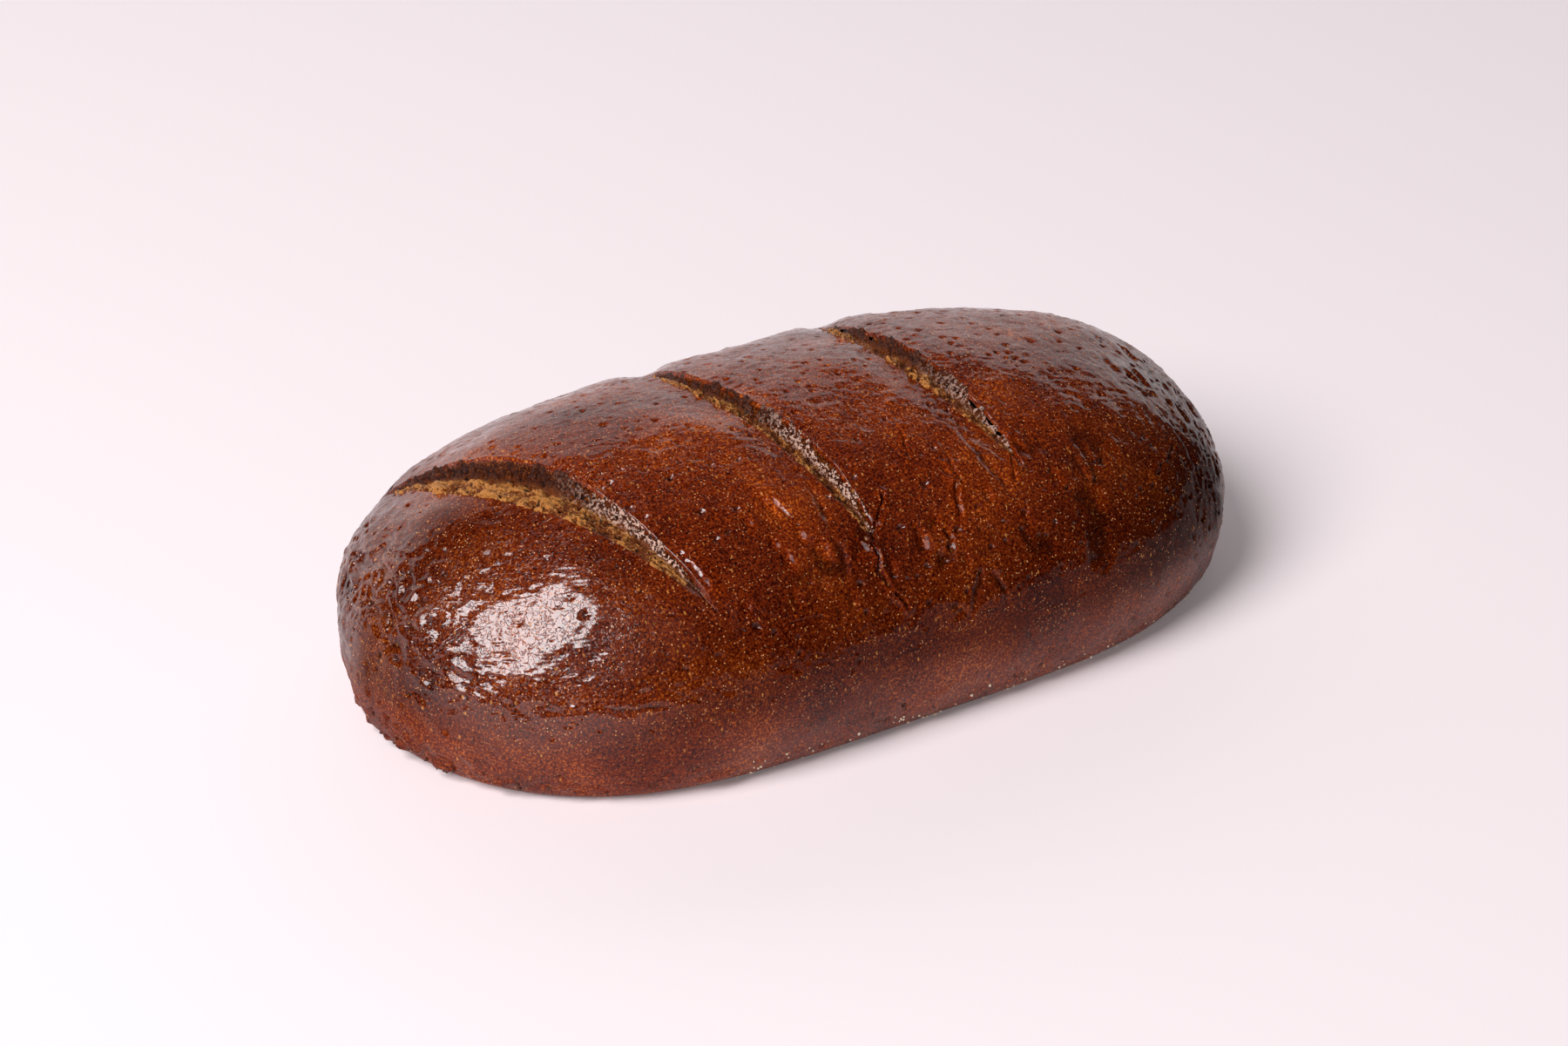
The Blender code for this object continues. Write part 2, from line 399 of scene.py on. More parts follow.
# Cracks, folds and scars on the crust: points along each, then half width, depth and, for a torn one,
# how far its +X side stands above the other. A ridge has a depth below zero.
crustMarks = [
    ([(-0.0125, -0.0590, 0.0536), (-0.0085, -0.0556, 0.0565), (-0.0047, -0.0518, 0.0591),
      (-0.0030, -0.0495, 0.0607)], 0.0010, 0.0010, 0.0004),
    ([(-0.0150, -0.0560, 0.0562), (-0.0125, -0.0592, 0.0534), (-0.0116, -0.0621, 0.0507),
      (-0.0131, -0.0638, 0.0488), (-0.0123, -0.0667, 0.0451), (-0.0104, -0.0684, 0.0425),
      (-0.0080, -0.0702, 0.0390)], 0.0009, 0.0009, 0.0006),
    ([(0.0140, -0.0330, 0.0689), (0.0112, -0.0382, 0.0667), (0.0099, -0.0427, 0.0644)],
     0.0007, 0.0005, 0.0003),
    ([(0.0185, -0.0515, 0.0591), (0.0163, -0.0560, 0.0560), (0.0148, -0.0598, 0.0528)],
     0.0013, 0.0007, 0.0005),
    ([(0.0080, -0.0585, 0.0539), (0.0106, -0.0625, 0.0502)], 0.0010, 0.0005, 0.0002),
    ([(-0.0427, -0.0673, 0.0433), (-0.0377, -0.0676, 0.0432), (-0.0330, -0.0682, 0.0425)],
     0.0008, 0.0004, 0.0),
    ([(0.0393, -0.0470, 0.0612), (0.0369, -0.0518, 0.0583), (0.0354, -0.0549, 0.0562)],
     0.0008, 0.0006, 0.0004),
    ([(0.0790, -0.0574, 0.0466), (0.0828, -0.0550, 0.0473), (0.0884, -0.0522, 0.0471)],
     0.0011, -0.0007, 0.0),
    ([(0.0815, -0.0572, 0.0455), (0.0845, -0.0548, 0.0462), (0.0928, -0.0487, 0.0475)],
     0.0009, 0.0007, 0.0),
    ([(-0.1208, -0.0251, 0.0385), (-0.1178, -0.0268, 0.0417), (-0.1135, -0.0280, 0.0459)],
     0.0009, 0.0006, 0.0003),
    ([(-0.1063, -0.0528, 0.0278), (-0.1012, -0.0568, 0.0282)], 0.0006, -0.0002, 0.0),
    ([(-0.0919, -0.0617, 0.0309), (-0.0859, -0.0646, 0.0304), (-0.0796, -0.0669, 0.0303)],
     0.0018, 0.0003, 0.0),
    ([(-0.0608, -0.0465, 0.0600), (-0.0592, -0.0525, 0.0563), (-0.0582, -0.0565, 0.0533)],
     0.0016, -0.0007, 0.0),
    ([(0.0412, -0.0429, 0.0633), (0.0410, -0.0480, 0.0604)], 0.0014, -0.0006, 0.0),
]

# Dents: place, half width across and depth. The first is one broad, shallow flat on the near -X shoulder,
# the others are as if made by a fingertip.
crustDents = [
    ((-0.1055, -0.0430, 0.0440), 0.0260, 0.0020),
    ((-0.0334, -0.0442, 0.0635), 0.0026, 0.0010), ((-0.0300, -0.0529, 0.0583), 0.0020, 0.0008),
    ((-0.0259, -0.0575, 0.0548), 0.0024, 0.0010), ((-0.0157, -0.0591, 0.0536), 0.0022, 0.0011),
    ((-0.0414, -0.0461, 0.0621), 0.0018, 0.0007), ((-0.0360, -0.0565, 0.0554), 0.0022, 0.0009),
    ((0.0022, -0.0614, 0.0513), 0.0024, 0.0011), ((0.0063, -0.0654, 0.0468), 0.0022, 0.0009),
    ((-0.0231, -0.0675, 0.0440), 0.0022, 0.0009), ((-0.0937, -0.0205, 0.0616), 0.0011, 0.0007),
    ((0.0255, -0.0560, 0.0550), 0.0022, 0.0009), ((-0.0090, -0.0640, 0.0485), 0.0020, 0.0008),
    ((-0.0377, -0.0530, 0.0579), 0.0018, 0.0008), ((-0.0384, -0.0646, 0.0473), 0.0022, 0.0009),
    ((-0.0349, -0.0420, 0.0647), 0.0016, 0.0006), ((-0.0177, -0.0609, 0.0519), 0.0018, 0.0009),
    ((0.0104, -0.0613, 0.0514), 0.0020, 0.0010), ((0.0125, -0.0664, 0.0455), 0.0018, 0.0008),
    ((0.0337, -0.0637, 0.0483), 0.0024, 0.0010), ((0.0480, -0.0560, 0.0540), 0.0022, 0.0008),
    ((0.0590, -0.0610, 0.0480), 0.0026, 0.0009), ((0.0700, -0.0520, 0.0540), 0.0020, 0.0007),
    ((-0.0520, -0.0630, 0.0490), 0.0018, 0.0006), ((0.0180, -0.0480, 0.0610), 0.0018, 0.0007),
]


# Distance from each point to a path of straight runs
def distanceToPath(points, path):
    best = np.full(points.shape[:-1], 1.0)
    for start, stop in zip(path, path[1:]):
        start, stop = np.array(start), np.array(stop)
        run = stop - start
        share = np.clip(((points - start) @ run) / (run @ run), 0, 1)
        gap = np.linalg.norm(points - start - share[..., None] * run, axis=-1)
        best = np.minimum(best, gap)
    return best


# Rows over the loaf: an end, then lines beside each cut with the slices between, then the other end, each
# row a mix of its neighbours by its share. Pieces of crust meet at the row in the middle of a cut.
def crustRows():
    count = crustStyle["rows"]
    before, after = crustStyle["cutReach"]
    heel = 1 - np.cos(np.linspace(0, 1, count["heel"], endpoint=False) * np.pi / 2)
    segments = [("end", -loafForm["halfLength"], 0, before, heel)]
    for number in range(3):
        segments.append((number, None, number, None, np.linspace(before, after, count["cut"])))
        if number < 2:
            inner = np.linspace(0, 1, count["slice"] + 2)[1:-1]
            segments.append((number, after, number + 1, before, inner))
    tail = np.sin(np.linspace(0, 1, count["tail"] + 1)[1:] * np.pi / 2)
    segments.append((2, after, "end", loafForm["halfLength"], tail))
    fixed, middles, opens, partings = [], [], [], []
    done = 0
    for start, startValue, stop, stopValue, shares in segments:
        middle = np.zeros((3, len(shares)))
        opening = np.zeros((3, len(shares)))
        base = np.zeros(len(shares))
        if startValue is None:
            middle[start] = 1
            opening[start] = shares
            partings.append(done + len(shares) // 2)
        else:
            for end, value, share in ((start, startValue, 1 - shares), (stop, stopValue, shares)):
                if end == "end":
                    base += value * share
                else:
                    middle[end] += share
                    opening[end] += value * share
        fixed.append(base)
        middles.append(middle)
        opens.append(opening)
        done += len(shares)
    partings = [0] + partings + [done - 1]
    return np.concatenate(fixed), np.concatenate(middles, axis=1), np.concatenate(opens, axis=1), partings


# The whole smooth skin: the arch, then on both sides a band that curves in from the belt to the base as a
# quarter of an ellipse, then the flat base
def crustSkin():
    fixed, middles, opens, partings = crustRows()
    farAngles = np.linspace(0, crustStyle["farAngle"], crustStyle["farSteps"], endpoint=False)
    nearAngles = np.linspace(crustStyle["farAngle"], np.pi, crustStyle["nearSteps"] + 1)
    angle = np.concatenate([farAngles, nearAngles])[None, :]
    arch = loafArch(fixed[:, None], middles[:, :, None], opens[:, :, None], angle)
    bands = []
    for belt, steps in zip((arch[:, -1], arch[:, 0]), crustStyle["bandSteps"]):
        turn = np.linspace(0, np.pi / 2, steps + 1)[1:]
        inset = loafForm["baseInset"] * (1 - np.cos(turn))
        height = loafForm["beltHeight"] * (1 - np.sin(turn))
        height[-1] = 0
        x = belt[:, 0:1] * (1 - inset / loafForm["halfLength"])
        y = belt[:, 1:2] * (1 - inset / loafForm["halfWidth"])
        bands.append(np.stack([x, y, height + np.zeros_like(x)], axis=-1))
    near, far = bands
    share = np.linspace(0, 1, crustStyle["baseSteps"] + 1)[1:-1, None]
    base = near[:, -1][:, None] * (1 - share) + far[:, -1][:, None] * share
    return np.concatenate([arch, near, base, far[:, ::-1]], axis=1), partings


# Relief of the crust along its normals. Slow: swells, dents, marks and the foot, where the dough frayed on
# the baking stone. Fine: the glaze's orange peel, wrinkles that run round both ends, creases on the crown,
# pits, a few blisters and upright folds on the near side. Each is noise, or a distance that falls off
# smoothly, times its height and the share of its zone.
def crustRelief(points):
    x, y, z = points[..., 0], points[..., 1], points[..., 2]
    style = crustStyle
    zones = reliefZones
    leftEnd = smoothStep(-x, *zones["leftEnd"])
    rightEnd = smoothStep(x + zones["rightLean"] * z, *zones["rightEnd"])
    crown = smoothStep(z, *zones["crown"])
    back = smoothStep(y, *zones["back"]) * 0.7
    low = smoothStep(-z, *zones["low"]) * 0.5
    nearSide = smoothStep(-y, *zones["near"]) * smoothStep(z, *zones["nearRise"])
    stretch = smoothStep(x, *zones["foldsFrom"]) * (1 - smoothStep(x, *zones["foldsTo"]))
    zoned = np.maximum.reduce([leftEnd, rightEnd, 0.5 * crown, back, low, 0.5 * nearSide])
    rough = np.clip(0.16 + zoned, 0, 1)
    rough = rough * (0.8 + 0.4 * layeredNoise(points, 0.018, 11, 2))

    warped = points + 0.0013 * np.stack([smoothNoise(points, 0.006, s) for s in (21, 22, 23)], axis=-1)
    slow = style["swell"] * layeredNoise(points, style["swellSize"], 41, 2)
    slow += style["dent"] * layeredNoise(warped, style["dentSize"], 43, 2) * (0.6 + 0.6 * rough)

    fine = style["peel"] * layeredNoise(warped, style["peelSize"], 81, 2, 0.6)
    ends = np.maximum(leftEnd, rightEnd)
    ridge = 1 - 2 * np.abs(layeredNoise(warped * [1.0, 0.40, 0.40], style["wrinkleSize"], 31, 2))
    fine += style["wrinkle"] * ridge * np.maximum(ends, 0.35 * back) * np.clip(rough * 1.3, 0, 1)
    ridge = 1 - 2 * np.abs(layeredNoise(warped * [0.55, 1.0, 1.0], style["creaseSize"], 33, 2))
    fine += style["crease"] * ridge * np.maximum(crown, low) * (1 - 0.6 * ends) * rough * 1.6

    gap, kind = cellDistance(warped, style["pitSpacing"], 51)
    radius = style["pitRadius"] * (0.35 + kind)
    fine -= style["pitDepth"] * (0.25 + rough) * smoothFall(gap / radius) * (kind > 0.30)

    gap, kind = cellDistance(points, style["blisterSpacing"], 61)
    least, extra = style["blisterRadius"]
    radius = least + extra * kind
    fine += style["blister"] * smoothFall(gap / radius) * (kind > 0.45) * (0.4 + rough)

    folds = layeredNoise(warped * [1.0, 0.42, 0.42], style["foldSize"], 71, 2)
    groove = smoothFall(np.abs(folds) / 0.40)
    groove = groove * smoothStep(smoothNoise(points, 0.009, 73), -0.3, 0.4)
    fine -= style["fold"] * nearSide * stretch * groove

    creased = 0.35 * nearSide * stretch * groove
    for place, radius, depth in crustDents:
        offset = (points - place) * [1.0, 0.5, 0.5]
        share = np.linalg.norm(offset, axis=-1) / radius
        slow -= depth * smoothFall(share)
        creased = np.maximum(creased, smoothFall(share / 1.5) * (radius < style["fingertip"]))

    fray = np.clip(1.6 * layeredNoise(points * [1.0, 1.0, 0.5], style["footSize"], 151, 2), 0, 1)
    footBand = smoothFall(np.abs(z - style["footHeight"]) / style["footReach"])
    towardsLeft = style["footRight"] + (1 - style["footRight"]) * smoothStep(-x, *style["footTurn"])
    slow += style["foot"] * fray * footBand * towardsLeft

    # how far each point lies in a crack, for the painted shade there
    cracks = np.zeros_like(x)
    warped = points + 0.0005 * np.stack([smoothNoise(points, 0.0022, s) for s in (24, 25, 26)], axis=-1)
    unevenness = smoothNoise(points, 0.0024, 27)
    for path, width, depth, step in crustMarks:
        gap = distanceToPath(warped, path)
        fall = smoothFall(gap / (width * (0.75 + 0.35 * unevenness)))
        slow -= 1.15 * depth * (0.75 + 0.45 * unevenness) * fall
        creased = np.maximum(creased, smoothFall(gap / (3.5 * width)))
        halfway = path[len(path) // 2]
        beside = np.clip((warped[..., 0] - halfway[0]) / 0.0005, 0, 1)
        rim = 0.35 * abs(depth) + step * beside
        slow += rim * smoothFall(gap / (3 * width)) * (1 - fall)
        if depth > 0:
            cracks = np.maximum(cracks, fall)
    return slow, fine, cracks, creased


# Painted shade and gloss of the crust: where each zone begins and is full, and how far it darkens the
# colour as painted shade or takes gloss
crustShadeAndGloss = dict(
    side=(0.036, 0.062),
    low=(0.013, 0.027),
    leftEnd=(0.088, 0.120),
    rightEnd=(0.030, 0.105),
    rightNear=(-0.015, 0.030),
    edge=(0.106, 0.122),
    crown=(0.058, 0.066),
    behind=(0.002, 0.016),
    sideShade=0.36,
    leftShade=0.38,
    rightShade=0.40,
    sideDull=0.80,
    lowDull=0.42,
    crownDull=0.24,
    shoulder=(-0.105, -0.040, 0.048),  # the middle of the highlight, where the glaze is thick and crazed
    shoulderShading=0.78,
    shoulderReach=0.055,
    crazedReach=0.042,
    creasedGloss=0.16,
    lowGlintCut=0.65,  # share of the painted glint dots taken away low down
)

# Places where the glaze lies thinner, and where the colour is darkened as painted shade: place, half width
# and by how much
crustBare = [
    ((-0.101, -0.004, 0.060), 0.028, 0.75),
    ((-0.066, 0.008, 0.071), 0.034, 0.30),
    ((-0.127, -0.021, 0.025), 0.022, 0.30),
]


# Four shares for the crust's finish: the shading, painted shade and light that darken the sides, both ends
# and bare places and lighten the crown, low down and the rims of creases; gloss, how thickly the glaze
# lies; crackle, how far the glaze has crazed; and how many painted glint dots show. The shading and gloss
# start at 1 and each zone takes its part away. The near -X shoulder is glossy with its shading set to one
# value, and bare and creased places are dull.
def crustShares(points, creased):
    x, y, z = points[..., 0], points[..., 1], points[..., 2]
    shadeAndGloss = crustShadeAndGloss
    uneven = layeredNoise(points, 0.030, 141, 2)
    side = 1 - smoothStep(z + 0.003 * uneven, *shadeAndGloss["side"])
    low = 1 - smoothStep(z + 0.004 * uneven, *shadeAndGloss["low"])
    leftEnd = smoothStep(-x + 0.004 * uneven, *shadeAndGloss["leftEnd"])
    rightEnd = smoothStep(x + 0.004 * uneven, *shadeAndGloss["rightEnd"]) * smoothStep(-y, *shadeAndGloss["rightNear"])
    edge = smoothStep(x, *shadeAndGloss["edge"])
    crown = smoothStep(z, *shadeAndGloss["crown"])
    # painted shade: the sides, the left end and the near right end darkened
    sideShade = shadeAndGloss["sideShade"] * side * (1 - low) * (1 - 0.7 * edge)
    leftShade = shadeAndGloss["leftShade"] * leftEnd * (1 - 0.5 * side) * (1 - 0.7 * smoothStep(y, *shadeAndGloss["behind"]))
    rightShade = shadeAndGloss["rightShade"] * rightEnd * (1 - 0.6 * low) * (1 - 0.8 * edge)
    paintedShading = 1 + 0.06 * low - sideShade - leftShade - rightShade
    # painted light: the crown lightened
    paintedShading = paintedShading + 0.10 * crown

    behindLeft = smoothStep(-x, 0.090, 0.110) * smoothStep(y, -0.004, 0.012)
    turned = np.maximum(0.7 * smoothStep(x, 0.098, 0.120), behindLeft)
    sideDull = shadeAndGloss["sideDull"] * side * (1 - low) * (1 - 0.8 * turned)
    gloss = 1 - shadeAndGloss["crownDull"] * crown - sideDull - shadeAndGloss["lowDull"] * low

    away = np.linalg.norm(points - shadeAndGloss["shoulder"], axis=-1)
    crackle = 0.08 + 0.57 * smoothFall(away / shadeAndGloss["crazedReach"]) + 0.25 * smoothStep(z, 0.060, 0.070)
    near = smoothFall(away / shadeAndGloss["shoulderReach"])
    paintedShading = paintedShading + (shadeAndGloss["shoulderShading"] - paintedShading) * near
    gloss = gloss + (1 - gloss) * np.clip(2 * near, 0, 1)
    for place, radius, bare in crustBare:
        spot = smoothFall(np.linalg.norm(points - place, axis=-1) / radius)
        gloss = gloss * (1 - bare * spot)
        # painted shade: darker where the glaze lies thinner
        paintedShading = paintedShading * (1 - 0.4 * bare * spot)
    gloss = gloss + (shadeAndGloss["creasedGloss"] - gloss) * np.clip(1.6 * creased, 0, 1) * (near < 0.05)
    # painted light on the rims of creases, dents and marks
    paintedShading = paintedShading * (1 + 0.22 * np.clip(creased, 0, 1))
    leftLow = low * (1 - smoothStep(x, -0.090, -0.050))
    gloss = gloss - 0.30 * leftLow
    paintedShading = paintedShading + 0.08 * leftLow
    glintShare = 1 - shadeAndGloss["lowGlintCut"] * low
    return np.clip(paintedShading, 0.2, 1.4), np.clip(gloss, 0.1, 1), np.clip(crackle, 0, 1), glintShare


# The crust in four pieces that meet in the middle of the cuts, on shared points and normals: the smooth
# skin moved along its normals by the relief and the slow lumps, less the depth of the cuts
def makeCrust():
    points, partings = crustSkin()
    normal = gridNormals(points, True)
    depth, inside, openness = cutProfile(points)
    slow, fine, cracks, creased = crustRelief(points)
    style = crustStyle
    offBase = smoothStep(points[..., 2], 0.0, style["reliefFrom"])
    gap = smoothStep(inside, *style["gapInside"]) * smoothStep(openness, *style["gapOpenness"])
    gap = style["cutGap"] * gap
    quiet = 1 - style["quietShare"] * smoothStep(inside, *style["quietInside"])
    lumps = lumpWaves(points) * smoothStep(points[..., 2], 0, style["lumpFrom"])
    points = points + normal * ((slow + fine) * offBase * quiet - depth - gap + lumps)[..., None]
    lip = smoothStep(inside, *style["lipInside"]) * smoothStep(depth, *style["lipDepth"])
    # painted shade in the dips of the relief
    dipShade = np.clip(0.5 - fine / style["dipScale"], 0, 1.2) * offBase
    paintedShading, gloss, crackle, glintShare = crustShares(points, creased)
    gloss = gloss * (1 - 0.8 * lip)
    attributes = dict(paintedShading=paintedShading, gloss=gloss, crackle=crackle, glintShare=glintShare, crackShade=cracks, lip=lip, dipShade=dipShade)

    normal = gridNormals(points, True)
    for end, beside in ((0, 1), (-1, -2)):
        tip = normal[beside].mean(axis=0)
        normal[end] = tip / np.linalg.norm(tip)
    pieces = []
    names = ("crustHeel", "crustSliceOne", "crustSliceTwo", "crustTail")
    for name, first, last in zip(names, partings, partings[1:]):
        rows = slice(first, last + 1)
        part = {key: values[rows] for key, values in attributes.items()}
        pieces.append(gridObject(name, points[rows], True, part, normal[rows]))
    return pieces


# Crumb that shows in the cuts

crumbStyle = dict(
    alongStep=0.00038,
    acrossSteps=62,
    reach=1.16,  # half width of the strip in half openings: its edges hide under the crust
    edgeDrop=0.0010,
    rise=0.0002,
    edgeFall=(-0.0002, 0.0006),  # where the edge of the strip sinks, from inside the cut to outside
    shown=(0.10, 0.30),  # openness at which crumb begins to show, and shows fully
    poreSpacing=0.0017,
    poreDepth=0.0014,
    finePoreSpacing=0.0009,
    finePoreDepth=0.00025,
    rag=0.0012,
    ragSize=0.0026,
    browner=(0.0, 0.14, 0.24),  # how much less of each cut stayed golden
    glintReach=(1.0, 1.0, 0.6),  # how strong the painted glints are on the wall of each cut
)


# A strip of crumb along one cut: the smooth surface less the depth of the cut, roughened by noise and
# less its pores, with its edges and its closed ends dropped under the crust
def makeCrumb(number):
    style = crumbStyle
    near, far = cutForm["near"][number], cutForm["far"][number]
    runLength = (far - near) * 1.15
    alongCount = int(runLength / style["alongStep"])
    offsets = np.linspace(-style["reach"], style["reach"], style["acrossSteps"])
    middle = np.zeros((3, len(offsets), 1))
    opening = np.zeros((3, len(offsets), 1))
    middle[number] = 1
    opening[number, :, 0] = offsets
    nearAngle = np.arccos(np.clip((near - 0.001) / loafForm["halfWidth"], -1, 1))
    farAngle = np.arccos(np.clip((far + 0.004) / loafForm["halfWidth"], -1, 1))
    angle = np.linspace(farAngle, nearAngle, alongCount)[None, :]
    points = loafArch(np.zeros((len(offsets), 1)), middle, opening, angle)
    normal = gridNormals(points, False)
    depth, inside, _ = cutProfile(points)
    ragged = inside + 0.0004 * layeredNoise(points, 0.0022, 95, 2)
    edge = smoothStep(-ragged, *style["edgeFall"])
    openness = cutOpenness(number, points[..., 1])

    sunk = points - normal * depth[..., None]
    warped = sunk + 0.0006 * np.stack([smoothNoise(sunk, 0.0016, s) for s in (91, 92, 93)], axis=-1)
    gap, kind = cellDistance(warped, style["poreSpacing"], 101)
    pore = smoothFall(gap / (0.0004 + 0.0007 * kind)) * (kind > 0.2)
    fineGap, fineKind = cellDistance(warped, style["finePoreSpacing"], 111)
    finePore = smoothFall(fineGap / (0.0002 + 0.0003 * fineKind))
    rag = layeredNoise(sunk, style["ragSize"], 121, 4, 0.6)
    relief = style["rag"] * rag - style["poreDepth"] * pore - style["finePoreDepth"] * finePore
    relief = relief * (1 - 0.7 * edge) * (0.35 + 0.65 * openness)
    shown = smoothStep(openness, *style["shown"])
    drop = style["edgeDrop"] * np.maximum(edge, 1 - shown)
    move = -depth + style["rise"] + relief * shown - drop
    across = np.zeros_like(points[..., 0]) + offsets[:, None]
    moved = points + normal * move[..., None]
    nearEnd = smoothStep(-points[..., 1], near * -0.05, near * -0.60)
    attributes = dict(
        across=across,
        pore=np.clip(pore + 0.5 * finePore, 0, 1),
        rag=np.clip(rag * 0.5 + 0.5 - style["browner"][number], 0, 1),
        # painted glints on the wall near the near end
        glintReach=style["glintReach"][number] * nearEnd * smoothStep(across + 0.3 * rag, 0.25, 0.60),
    )
    return gridObject("crumb%d" % (number + 1), moved, False, attributes)


# Materials

# Linear colour of an sRGB hex code
def linear(code):
    channels = [int(code[i:i + 2], 16) / 255 for i in (1, 3, 5)]
    return tuple(c / 12.92 if c <= 0.04045 else ((c + 0.055) / 1.055) ** 2.4 for c in channels) + (1.0,)


# Adds a node with its settings and its inputs, each a value or another node's output. An input goes by
# its name, with _ for a space, or as i0, i1 and so on by its number.
def addNode(material, kind, settings=None, **inputs):
    node = material.node_tree.nodes.new("ShaderNode" + kind)
    for key, value in (settings or {}).items():
        setattr(node, key, value)
    for key, value in inputs.items():
        numbered = key[0] == "i" and key[1:].isdigit()
        socket = node.inputs[int(key[1:]) if numbered else key.replace("_", " ")]
        if isinstance(value, bpy.types.NodeSocket):
            material.node_tree.links.new(value, socket)
        else:
            socket.default_value = value
    return node


def newMaterial(name):
    material = bpy.data.materials.new(name)
    material.use_nodes = True
    material.node_tree.nodes.clear()
    return material


# A principled shader with these inputs, as the material's surface
def addSurface(material, **inputs):
    shader = addNode(material, "BsdfPrincipled", **inputs)
    addNode(material, "OutputMaterial", Surface=shader.outputs[0])


# Mixes two colours by a factor: a colour is a hex code or an output, and the factor a number or an output
def mixColour(material, factor, first, second, blend="MIX"):
    first, second = [linear(colour) if isinstance(colour, str) else colour for colour in (first, second)]
    settings = dict(data_type="RGBA", blend_type=blend)
    return addNode(material, "Mix", settings, i0=factor, i6=first, i7=second).outputs[2]


# 0 below low, 1 above high and eased between, or the same from toLow to toHigh
def remap(material, value, low, high, toLow=0.0, toHigh=1.0):
    node = addNode(material, "MapRange", dict(interpolation_type="SMOOTHSTEP"), i0=value, i1=low, i2=high,
                   i3=toLow, i4=toHigh)
    return node.outputs[0]


def calculate(material, operation, *values):
    inputs = {"i%d" % place: value for place, value in enumerate(values)}
    return addNode(material, "Math", dict(operation=operation), **inputs).outputs[0]


def readAttributes(material, *names):
    return [addNode(material, "Attribute", dict(attribute_name=name)).outputs["Fac"] for name in names]


def noiseTexture(material, place, scale, detail, roughness, distortion=0.0):
    node = addNode(material, "TexNoise", Vector=place, Scale=scale, Detail=detail, Roughness=roughness,
                   Distortion=distortion)
    return node.outputs[0]


crustFinish = dict(
    dark="#3a0902",
    body="#782908",
    warm="#c4621e",
    bran="#d28c44",
    glint="#f0ac72",
    # painted shade for dips and cracks
    recessShade="#180502",
    cutEdge="#2a0e04",
    cutMeal="#7c4420",
    roughness=0.6,
    specular=0.0,
    coatIor=1.6,
    coatRoughness=0.09,
    zoneScale=42.0,  # redder and browner zones of 24 mm
    grainScale=1500.0,  # rye meal of 0.7 mm
    speckScale=620.0,  # one bran speck every 1.6 mm, drawn out to twice that up the sides
    dotScale=1250.0,  # painted glints as pale dots, up to one every 0.8 mm
    crackleScale=620.0,  # crackle lines 1 to 2 mm apart
    crackleLine=0.035,
    glazeHeight=0.00009,
    mealHeight=0.0006,
    bodyFrom=(0.54, 0.70),  # where dark turns to body colour, and body to warm
    warmFrom=(0.73, 0.87),
    speckEdge=(0.06, 0.22),
    speckChance=(0.50, 0.95),
    dotEdge=(0.12, 0.31),
    dotChance=(0.48, 1.0),
    mealFrom=(0.48, 0.62),
)


